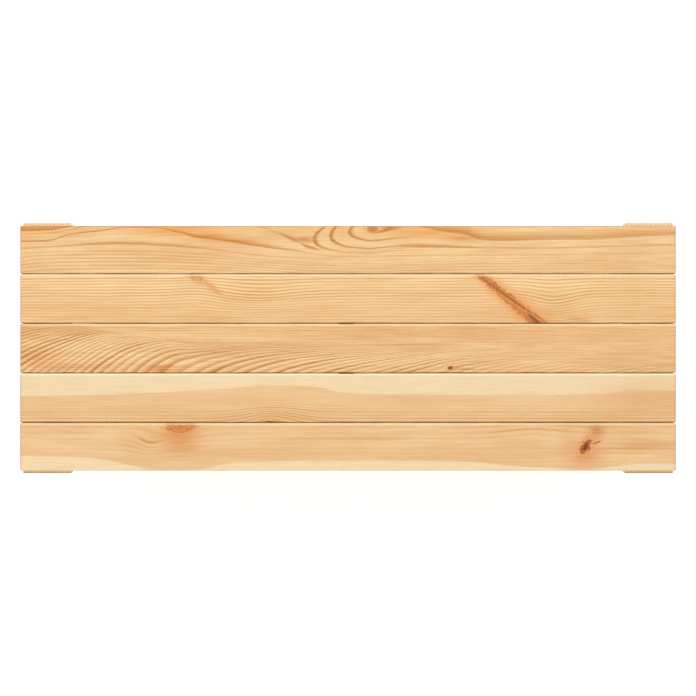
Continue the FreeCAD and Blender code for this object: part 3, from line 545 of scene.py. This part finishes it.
boardWoods = {
    "deck_board_5": {
        "seed": 1.3, "halfWidth": 29.25, "faintest": 0.7, "crisp": 2.6, "rubbedAndHighlit": 0.0,
        "seamShade": 0.0, "rimShade": 0.75, "pale": (244, 206, 152), "deep": (236, 190, 134),
        "late": (204, 132, 56),
        "guides": [
            (0.0, 60.0),
            (1.0, [
                (-400, 22), (-370, 23), (-340, 27), (-300, 36), (-240, 38), (-130, 36), (-60, 33),
                (60, 30), (110, 22), (146, 17), (161, 11.6), (190, 9.7), (234, 10.9), (295, 11.6),
                (342, 14.6), (400, 17),
            ]),
            (2.0, [
                (-400, 19), (-370, 20), (-340, 24), (-300, 31), (-240, 33), (-130, 30), (-90, 20),
                (-60, 8), (-24, -2), (15, 0.4), (39, -0.9), (88, 2.3), (170, 1.5), (259, 1.1),
                (357, 4.2), (400, 4.7),
            ]),
            (3.0, [
                (-400, 9), (-370, 10), (-340, 18.3), (-300, 22.8), (-265, 27), (-205, 20),
                (-186, 14.7), (-149, 9.8), (-112, 3.7), (-63, -2.4), (15, -9.8), (80, -8),
                (200, -7.5), (400, -5),
            ]),
            (4.0, [
                (-400, 0.5), (-340, 3.7), (-280, 6.1), (-232, 4.4), (-182, 1.2), (-134, -5),
                (-60, -11), (15, -13.4), (80, -12), (200, -11.5), (400, -9),
            ]),
            (5.0, [
                (-400, -8), (-280, -2.5), (-182, -6.1), (-100, -13), (15, -17.4), (80, -15.5),
                (400, -13),
            ]),
            (10.0, [
                (-400, -30), (-280, -24), (-182, -25), (-100, -29), (15, -34), (80, -33),
                (400, -31),
            ]),
            (13.0, -46.0),
        ],
        "arch": {
            "span": (-62, 66),
            "floor": [(-80, 8), (-60, 7), (-44, 4), (-24, -4), (15, -7), (40, -5), (70, -3)],
            "lateStart": 0.66,
            "pithAcross": [
                (-80, 12), (-63, 12), (-40, 13), (-24, 16), (0, 21.5), (15, 23.5), (34, 26),
                (80, 29),
            ],
            "pithDepth": [
                (-80, 44), (-63, 38), (-44, 32), (-24, 27), (-15, 24.2), (-1, 19), (15, 14.6),
                (34, 10), (51, 11), (80, 12),
            ],
            "rings": [(0, -2), (12, 0), (19, 1), (27, 2), (32, 3), (36, 3.4), (60, 3.4)],
        },
        "plain": [(-105, 20, 32, 9, 0.9)],
        "boldness": [(-400, 1.1), (100, 1.05), (250, 0.8), (400, 0.7)],
        "linesAcross": [(-30, 0.5), (-8, 0.55), (6, 1.0), (14, 1.25), (30, 1.25)], "wander": 1.2,
        "ripple": 0.6,
        "patches": [
            {"place": (-212, 25, 46, 10), "colour": (235, 162, 82), "strength": 1.0},
            {"place": (-168, 17, 34, 6), "colour": (228, 152, 74), "strength": 0.8},
            {"place": (-130, 11, 34, 4), "colour": (226, 152, 78), "strength": 0.7},
            {"place": (92, 22, 44, 9), "colour": (235, 162, 84), "strength": 0.9},
            {"place": (140, 14, 24, 4), "colour": (222, 146, 72), "strength": 0.85},
            {"place": (-54, 12, 13, 3.5), "colour": (206, 122, 52), "strength": 1.0},
            {"place": (-8, 22, 14, 10), "colour": (232, 168, 98), "strength": 0.5},
            {"place": (-380, 24, 40, 8), "colour": (234, 172, 108), "strength": 0.5},
            {"place": (330, 22, 60, 8), "colour": (236, 176, 118), "strength": 0.4},
        ],
        "knots": [
            {
                "along": 31, "across": 25.5, "size": (5.5, 3.2), "rings": 0.0, "halo": 0.5,
                "haloReach": 3.0, "colour": (200, 124, 66), "strength": 0.8,
            },
        ],
    },
    "deck_board_4": {
        "seed": 8.1, "halfWidth": 30, "pale": (250, 217, 166), "deep": (236, 189, 134),
        "late": (214, 150, 72), "pithAcross": -140.0, "pithDepth": 30.0, "rings": 3.5,
        "wander": 2.5, "ripple": 0.8, "toneAcross": (16, -22), "faintest": 0.5,
        "linesAcross": [(-30, 0.6), (-12, 0.7), (4, 0.95), (30, 1.0)],
        "sags": [(250, -8, 34, 24, 9.0), (-108, 4, 52, 18, 6.0), (-185, 4, 30, 20, -3.0)],
        "lined": [(-118, 6, 26, 16, 0.6), (258, -14, 30, 16, 0.5)],
        "patches": [
            # The first patch is painted shade on the slot's edge
            {"place": (-2, -30.4, 12, 1.6), "colour": (140, 80, 30), "strength": 0.8},
            {"place": (280, -26, 14, 4), "colour": (222, 140, 80), "strength": 0.7},
            {"place": (350, 8, 60, 16), "colour": (244, 204, 146), "strength": 0.5},
        ],
        "knots": [
            {
                "along": -186, "across": 26, "size": (8.5, 4), "turn": -30, "rough": 2.4,
                "rings": 1.5, "grainAlong": 0.4, "grainAcross": 0.6, "veins": 1.0,
                "colour": (234, 172, 108), "ringColour": (150, 78, 32), "strength": 0.85,
                "halo": 0.5,
            },
            {
                "along": -166, "across": 14, "size": (15, 2.4), "turn": -38, "rough": 3.0,
                "rings": 0.0, "grainAlong": 0.45, "grainAcross": 0.7, "colour": (226, 158, 92),
                "strength": 0.6, "halo": 0.4,
            },
            {
                "along": 196, "across": 0, "size": (60, 5.6), "turn": -39.5, "taper": 0.45,
                "rough": 1.7, "rings": 0.0, "band": True, "grainAlong": 0.22, "grainAcross": 0.3,
                "veins": 0.85, "colour": (216, 134, 68), "ringColour": (160, 82, 34),
                "strength": 0.9, "halo": 0.9, "haloReach": 3.0, "haloColour": (236, 164, 96),
                "core": (42, 0.5, 18, 3.0), "coreColour": (140, 86, 40),
            },
            {
                "along": 188, "across": 7.5, "size": (46, 1.7), "turn": -35.5, "rough": 2.4,
                "rings": 0.0, "grainAlong": 0.3, "grainAcross": 0.5, "colour": (158, 82, 34),
                "strength": 0.65, "halo": 0.3,
            },
        ],
    },
    "deck_board_3": {
        "seed": 4.7, "halfWidth": 30, "pale": (250, 209, 156), "deep": (238, 189, 133),
        "late": (188, 120, 46),
        "fan": {
            "base": -29.0, "topStrength": 0.3,
            "height": [
                (-400, 76), (-340, 66), (-300, 57), (-220, 47), (-160, 42), (-110, 42),
                (-63, 40.5), (15, 35), (63, 33), (173, 32), (260, 28), (400, 22),
            ],
            "reach": [
                (-400, 100), (-345, 86), (-290, 60), (-235, 54), (-190, 72), (-125, 94),
                (-63, 115), (0, 122), (100, 112), (400, 118),
            ],
            "rings": [
                (-860, 0), (-420, 34), (-250, 48.5), (-180, 52), (0, 61), (200, 71), (400, 80),
            ],
        },
        "lateStart": 0.2, "faintest": 0.55, "wander": 1.5, "ripple": 1.2,
        "boldness": [(-400, 1.0), (0, 0.9), (130, 0.7), (230, 0.45), (400, 0.4)],
        "patches": [
            # The first two patches are painted shade on the slots' edges
            {"place": (-2, 30.4, 12, 1.6), "colour": (140, 80, 30), "strength": 0.8},
            {"place": (-2, -30.4, 12, 1.6), "colour": (140, 80, 30), "strength": 0.8},
            {"place": (200, 19, 330, 13), "colour": (229, 172, 114), "strength": 0.7},
            {"place": (-230, 26, 150, 6), "colour": (232, 174, 114), "strength": 0.6},
            {"place": (-310, -12, 90, 15), "colour": (255, 220, 166), "strength": 0.6},
            {"place": (10, -16, 150, 11), "colour": (255, 220, 168), "strength": 0.6},
            {"place": (-228, -25, 17, 5), "colour": (222, 136, 72), "strength": 0.98},
            {"place": (-384, -10, 30, 9), "colour": (224, 150, 82), "strength": 0.6},
            {"place": (-350, -22, 34, 5), "colour": (224, 150, 82), "strength": 0.6},
            {"place": (-296, -24, 30, 4), "colour": (226, 154, 88), "strength": 0.5},
            {"place": (340, -10, 110, 22), "colour": (230, 176, 120), "strength": 0.55},
            {"place": (60, 4, 60, 2), "colour": (212, 140, 82), "strength": 0.6},
        ],
        "knots": [
            {
                "along": 125, "across": -24, "size": (3.6, 2.0), "rings": 0.0, "flow": 2.6,
                "stretch": 3.0, "colour": (136, 70, 30), "halo": 0.8, "rough": 1.4,
            },
            {
                "along": 143, "across": -25.5, "size": (9, 1.0), "rings": 0.0, "rough": 3.0,
                "grainAlong": 0.5, "colour": (190, 118, 60), "strength": 0.7, "halo": 0.3,
            },
        ],
    },
    "deck_board_2": {
        "seed": 6.2, "halfWidth": 30, "rubbedAndHighlit": 0.9, "pale": (240, 200, 148),
        "deep": (233, 188, 134), "late": (214, 152, 80), "sap": (243, 217, 173),
        "pithAcross": -78.0, "pithDepth": 25.0, "rings": 3.5, "wander": 1.5, "ripple": 0.5,
        "sapSide": 1.0,
        "sapEdge": [
            (-400, 1.8), (-300, 3.7), (-217, 7.3), (-144, 11.6), (-85, 15), (-50, 14), (-22, 9.8),
            (0, 6.1), (60, 4.3), (300, 4.9), (355, 8.5), (400, 8.5),
        ],
        "linesAcross": [(-30, 0.9), (-20, 0.75), (-14, 0.35), (-8, 0.1), (30, 0.05)],
        "fibre": 0.2, "lined": [(-85, -14, 40, 12, 1.0)], "sags": [(-93, -26, 40, 18, -9.0)],
        "patches": [
            # This first patch is painted shade on the slot's edge
            {"place": (-2, 30.4, 12, 1.6), "colour": (140, 80, 30), "strength": 0.8},
            {"place": (370, -4, 60, 26), "colour": (226, 170, 112), "strength": 0.55},
        ],
        "knots": [
            {
                "along": -95, "across": -29.5, "size": (8, 1.6), "rings": 0.0, "halo": 0.5,
                "flow": 4.0, "stretch": 1.8, "rough": 2.4, "grainAlong": 0.5,
                "colour": (166, 102, 50),
            },
        ],
    },
    "deck_board_1": {
        "seed": 2.9, "halfWidth": 29.25, "grimeAndShade": 0.15, "pale": (242, 204, 152),
        "deep": (234, 188, 134), "late": (212, 144, 68), "sap": (245, 219, 175),
        "pithAcross": 70.0, "pithDepth": 60.0, "rings": 4.5, "wander": 3.0, "ripple": 0.8,
        "boldness": 0.17, "fibre": 0.2, "sapSide": -1.0,
        "sapEdge": [
            (-400, -11.3), (-327, -13), (-290, -17.4), (-254, -24.7), (-230, -28.5),
            (-199, -28.5), (-162, -23.5), (-120, -18.6), (-60, -17.4), (90, -17.4), (150, -18.6),
            (198, -23), (260, -26), (283, -27), (320, -24), (357, -21), (400, -20),
        ],
        "lined": [
            (-252, 3, 20, 8, 1.3), (30, 9.5, 150, 2.2, 1.2), (-335, 7, 30, 2.0, 1.0),
            (345, 3, 40, 9, 0.9), (-190, 4, 22, 5, 0.9), (220, 18, 50, 8, 0.7),
        ],
        "sags": [(-240, 3, 20, 14, 9.0), (225, 18, 40, 12, -5.0)],
        "patches": [
            {"place": (-207, 12, 22, 13), "colour": (224, 142, 78), "strength": 0.95},
            {"place": (-202, -3, 22, 6), "colour": (228, 158, 98), "strength": 0.7},
            {"place": (303, 19, 10, 9), "colour": (206, 120, 64), "strength": 0.9},
            {"place": (290, -8, 20, 17), "colour": (224, 146, 86), "strength": 0.85},
            {"place": (362, 3, 36, 6), "colour": (216, 146, 88), "strength": 0.65},
            {"place": (270, 8, 12, 22), "colour": (228, 160, 102), "strength": 0.4},
        ],
        "knots": [
            {
                "along": -205, "across": 26, "size": (16, 9), "rings": 2.5, "rough": 1.3,
                "halo": 0.8, "haloReach": 2.1, "grainAcross": 0.5, "colour": (224, 140, 74),
                "ringColour": (170, 88, 38), "flow": 10.0, "stretch": 2.5, "rim": 0.2,
                "coreColour": (160, 80, 34),
            },
            {
                "along": 290, "across": 0, "size": (10, 5.5), "turn": 62, "rings": 1.5,
                "rough": 2.4, "halo": 0.9, "grainAlong": 0.35, "grainAcross": 0.45,
                "haloReach": 2.4, "veins": 0.8, "colour": (196, 112, 56),
                "ringColour": (140, 72, 30), "core": (0, 0, 7.5, 3.2),
                "coreColour": (112, 56, 24),
            },
            {
                "along": 303, "across": 5, "size": (6, 1.0), "turn": 20, "rings": 0.0,
                "rough": 1.8, "colour": (180, 98, 48), "strength": 0.8, "halo": 0.3,
            },
        ],
    },
}


def dress(nodeName, finish):
    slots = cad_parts[nodeName].data.materials
    for index in range(len(slots)):
        slots[index] = finish


for nodeName, wood in boardWoods.items():
    dress(nodeName, woodFinish("pine_" + nodeName, nodeName, "XYZ", {"endShade": 0.8, **wood}))
print("deck boards finished")

# The hidden woodwork: cross boards and beams of plain pine, handle and wheels of beech

battenPine = {
    "pale": (244, 222, 182), "deep": (238, 210, 166), "late": (208, 162, 110),
    "endTone": (206, 176, 134),
    "pithAcross": -52.0, "pithDepth": 20.0, "rings": 4.2, "boldness": 0.6, "endShade": 1.0,
}
beamPine = {
    "pale": (228, 186, 134), "deep": (216, 166, 112), "late": (180, 116, 62),
    "pithAcross": 30.0, "pithDepth": 16.0, "rings": 4.8, "boldness": 0.9,
}
beech = {
    "pale": (224, 182, 138), "deep": (212, 164, 120), "late": (190, 138, 96),
    "endTone": (186, 132, 90),
    "pithAcross": 70.0, "pithDepth": 30.0, "rings": 3.0, "boldness": 0.35,
    "flecks": 0.45, "fibre": 0.1,
}
plainWoods = {
    "front_end_batten": ("YXZ", battenPine, {"seed": 3.1}),
    "rear_end_batten": ("YXZ", battenPine, {"seed": 9.4, "pithAcross": 44.0}),
    "front_bolster": ("YXZ", battenPine, {"seed": 5.6, "pithAcross": 10.0, "pithDepth": 24.0}),
    "rear_bolster": ("YXZ", battenPine, {"seed": 7.7, "pithAcross": -14.0, "pithDepth": 30.0}),
    "front_axle_beam": ("YXZ", beamPine, {"seed": 2.2}),
    "rear_axle_beam": ("YXZ", beamPine, {"seed": 6.6, "pithAcross": -24.0}),
    "handle_bar": ("XYZ", beech, {"seed": 4.4, "handled": 0.25}),
    "handle_grip": ("YXZ", beech, {"seed": 8.8, "handled": 0.5}),
    "front_left_wheel_disc": ("XZY", beech, {"seed": 1.1, "turned": 1.2}),
    "front_right_wheel_disc": ("XZY", beech, {"seed": 2.8, "turned": 1.2, "pithAcross": -80.0}),
    "rear_left_wheel_disc": ("XZY", beech, {"seed": 3.9, "turned": 1.2, "pithAcross": 95.0}),
    "rear_right_wheel_disc": ("XZY", beech, {"seed": 5.2, "turned": 1.2, "pithAcross": -65.0}),
}
for nodeName, (axes, wood, changes) in plainWoods.items():
    dress(nodeName, woodFinish("wood_" + nodeName, nodeName, axes, {**wood, **changes}))
print("hidden woodwork finished")


# Tyres

rubber = {
    "dark": (30, 30, 31),
    "light": (46, 45, 44),
    "dust": (112, 104, 92),
    "dustReach": (75.5, 79.5),  # from the wheel's middle
    "dustStrength": (0.15, 0.6),
    "mouldLines": 4.2,
    "mouldDepth": 0.25,
    "relief": 0.00025,
    "roughness": (0.62, 0.85),
}


def rubberFinish(nodeName):
    # Black rubber, dusty where it meets the ground, with fine mould lines on its sides
    mix = Recipe("rubber_" + nodeName)
    low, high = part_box(nodeName)
    place = mix.millimetres((low + high) / 2)
    around = mix.length(place[0], place[2])
    cloud = mix.noise(mix.coordinates.outputs["Object"], 90.0, 5.0, 0.6)
    dusty = mix.fade(around, *rubber["dustReach"])
    dusty = mix.multiply(dusty, mix.fade(cloud, 0.35, 0.65, *rubber["dustStrength"]))
    colour = mix.mix(cloud, paint(*rubber["dark"]), paint(*rubber["light"]))
    colour = mix.mix(dusty, colour, paint(*rubber["dust"]))
    mould = mix.calc("SINE", mix.multiply(around, rubber["mouldLines"]))
    grit = mix.noise(mix.coordinates.outputs["Object"], 700.0, 2.0)
    height = mix.add(mix.multiply(mould, rubber["mouldDepth"]), grit)
    mix.relief(height, rubber["relief"], 0.5)
    roughness = mix.fade(cloud, 0.2, 0.8, *rubber["roughness"])
    return mix.settle(Base_Color=colour, Roughness=roughness, Specular_IOR_Level=0.35)


# Metal

plating = {
    "zinc_steel": {
        "name": "zinc_plate", "bright": (206, 208, 210), "dull": (176, 178, 180),
        "roughness": (0.28, 0.48), "relief": 0.00008,
    },
    "screws": {
        "name": "yellow_zinc", "bright": (214, 190, 128), "dull": (190, 170, 132),
        "roughness": (0.26, 0.42), "relief": 0.00008,
    },
    "hub_caps": {
        "name": "bright_plate", "bright": (232, 232, 230), "dull": (216, 217, 218),
        "roughness": (0.1, 0.22), "relief": 0.00003,
    },
}


def steelFinish(plate):
    # Plated steel: a cloudy plating, faint fingerprints and dull spots
    mix = Recipe(plate["name"])
    place = mix.coordinates.outputs["Object"]
    cloud = mix.noise(place, 160.0, 4.0, 0.6)
    spangle = mix.node("TexVoronoi", Vector=place, Scale=420.0).outputs["Distance"]
    blend = mix.add(mix.multiply(cloud, 0.7), mix.multiply(spangle, 0.4))
    colour = mix.mix(mix.fade(blend, 0.3, 0.7), paint(*plate["bright"]), paint(*plate["dull"]))
    grain = mix.noise(place, 1500.0, 2.0)
    mix.relief(mix.add(grain, cloud), plate["relief"], 0.4)
    roughness = mix.fade(blend, 0.2, 0.8, *plate["roughness"])
    return mix.settle(Base_Color=colour, Metallic=1.0, Roughness=roughness)


powderCoat = {
    "black": (30, 30, 32),
    "rubbedAndHighlit": (70, 66, 62),
    "rubbing": 0.6,
    "relief": 0.0004,
    "roughness": (0.36, 0.46),
    "rubbedRoughness": 0.25,  # added where it's rubbed
}


def powderCoatFinish():
    # Black powder coat with its orange-peel skin, dusty and rubbed in places
    mix = Recipe("black_powder_coat")
    place = mix.coordinates.outputs["Object"]
    peel = mix.noise(place, 520.0, 2.0)
    rub = mix.fade(mix.noise(place, 45.0, 6.0, 0.7), 0.55, 0.75)
    rubbing = mix.multiply(rub, powderCoat["rubbing"])
    colour = mix.mix(rubbing, paint(*powderCoat["black"]), paint(*powderCoat["rubbedAndHighlit"]))
    mix.relief(peel, powderCoat["relief"], 0.5)
    roughness = mix.fade(peel, 0.3, 0.7, *powderCoat["roughness"])
    roughness = mix.add(roughness, mix.multiply(rub, powderCoat["rubbedRoughness"]))
    return mix.settle(Base_Color=colour, Roughness=roughness, Specular_IOR_Level=0.5)


# Bushes

nylon = {
    "pale": (232, 228, 216),
    "deep": (214, 206, 188),
    "relief": 0.0001,
    "roughness": (0.35, 0.5),
    "inner": 0.15,
    "innerReach": (0.002, 0.002, 0.0015),
}


def nylonFinish():
    mix = Recipe("natural_nylon")
    place = mix.coordinates.outputs["Object"]
    cloud = mix.noise(place, 120.0, 4.0)
    colour = mix.mix(mix.fade(cloud, 0.3, 0.7), paint(*nylon["pale"]), paint(*nylon["deep"]))
    mix.relief(mix.noise(place, 900.0, 2.0), nylon["relief"], 0.4)
    mix.settle(Subsurface_Weight=nylon["inner"], Subsurface_Radius=nylon["innerReach"])
    roughness = mix.fade(cloud, 0.2, 0.8, *nylon["roughness"])
    return mix.settle(Base_Color=colour, Roughness=roughness)


slotFinishes = {slotName: steelFinish(plate) for slotName, plate in plating.items()}
slotFinishes["black_steel"] = powderCoatFinish()
slotFinishes["nylon"] = nylonFinish()
for nodeName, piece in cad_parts.items():
    slotName = piece.data.materials[0].name
    if slotName == "tyres":
        dress(nodeName, rubberFinish(nodeName))
    elif slotName in slotFinishes:
        dress(nodeName, slotFinishes[slotName])
print("tyres, metal and nylon finished")


# Studio

studio = {
    "floorSize": 60.0,
    "floorGlow": 0.5,
    "floorShade": 0.21,  # how light the floor stays right under the wagon
    "shadeWarmth": 0.5,  # how much blue is left in that shade
    "shadeLength": (280, 425),  # from the middle, where the shade fades out
    "shadeWidth": (60, 155),
    "horizonLight": 1.0,
    "zenithLight": 0.53,
    "keyPower": 79.0,
    "keyPlace": (0.0, 2.6, 2.8),
    "keySize": 2.4,
    "fillPower": 18.0,
    "fillPlace": (-1.6, -2.4, 2.4),
    "fillSize": 2.4,
    "lightsAimAt": (0, 0, 0.15),
    "cameraHeight": 3.0,  # above the deck's top
    "viewWidth": 0.849,  # at the deck's top
    "cameraAcross": 0.0003,
}


def makeFloor():
    mesh = bpy.data.meshes.new("floor")
    builder = bmesh.new()
    bmesh.ops.create_grid(builder, x_segments=1, y_segments=1, size=studio["floorSize"] / 2)
    builder.to_mesh(mesh)
    builder.free()
    floor = bpy.data.objects.new("floor", mesh)
    bpy.context.collection.objects.link(floor)
    mix = Recipe("floor_paper")
    place = mix.millimetres((0, 0, 0))
    outside = mix.calc("MAXIMUM",
        mix.fade(mix.calc("ABSOLUTE", place[0]), *studio["shadeLength"]),
        mix.fade(mix.calc("ABSOLUTE", place[1]), *studio["shadeWidth"]),
    )
    mottle = mix.noise(mix.coordinates.outputs["Object"], 3.0, 3.0)
    paper = mix.fade(mottle, 0.2, 0.8, 0.9, 0.94)
    tone = mix.multiply(paper, mix.fade(outside, 0.0, 1.0, studio["floorShade"], 1.0))
    warm = mix.fade(outside, 0.0, 1.0, studio["shadeWarmth"], 1.0)
    colour = mix.join(tone, mix.multiply(tone, mix.calc("SQRT", warm)), mix.multiply(tone, warm))
    mix.settle(Base_Color=colour, Roughness=0.9, Specular_IOR_Level=0.1)
    glow = mix.multiply(outside, studio["floorGlow"])
    mix.settle(Emission_Color=(1, 1, 1, 1), Emission_Strength=glow)
    mesh.materials.append(mix.material)


def makeLight(name, place, size, power):
    data = bpy.data.lights.new(name, "AREA")
    data.shape = "SQUARE"
    data.size = size
    data.energy = power
    light = bpy.data.objects.new(name, data)
    light.location = place
    aim = Vector(studio["lightsAimAt"]) - Vector(place)
    light.rotation_euler = aim.to_track_quat("-Z", "Y").to_euler()
    bpy.context.collection.objects.link(light)


def makeSky():
    world = bpy.data.worlds.new("studio")
    bpy.context.scene.world = world
    world.use_nodes = True
    nodes, links = world.node_tree.nodes, world.node_tree.links
    direction = nodes.new("ShaderNodeTexCoord")
    split = nodes.new("ShaderNodeSeparateXYZ")
    links.new(direction.outputs["Generated"], split.inputs[0])
    fade = nodes.new("ShaderNodeMapRange")
    links.new(split.outputs["Z"], fade.inputs["Value"])
    fade.inputs["From Max"].default_value = 0.6
    fade.inputs["To Min"].default_value = studio["horizonLight"]
    fade.inputs["To Max"].default_value = studio["zenithLight"]
    background = nodes["Background"]
    background.inputs["Color"].default_value = (1, 1, 1, 1)
    links.new(fade.outputs[0], background.inputs["Strength"])


def makeCamera():
    data = bpy.data.cameras.new("camera")
    data.lens = data.sensor_width * studio["cameraHeight"] / studio["viewWidth"]
    camera = bpy.data.objects.new("camera", data)
    camera.location = (0, studio["cameraAcross"], cadBox[1][2] + studio["cameraHeight"])
    bpy.context.collection.objects.link(camera)
    bpy.context.scene.camera = camera


makeFloor()
makeLight("keyLight", studio["keyPlace"], studio["keySize"], studio["keyPower"])
makeLight("fillLight", studio["fillPlace"], studio["fillSize"], studio["fillPower"])
makeSky()
makeCamera()
bpy.context.scene.view_settings.view_transform = "Standard"
print("studio ready")
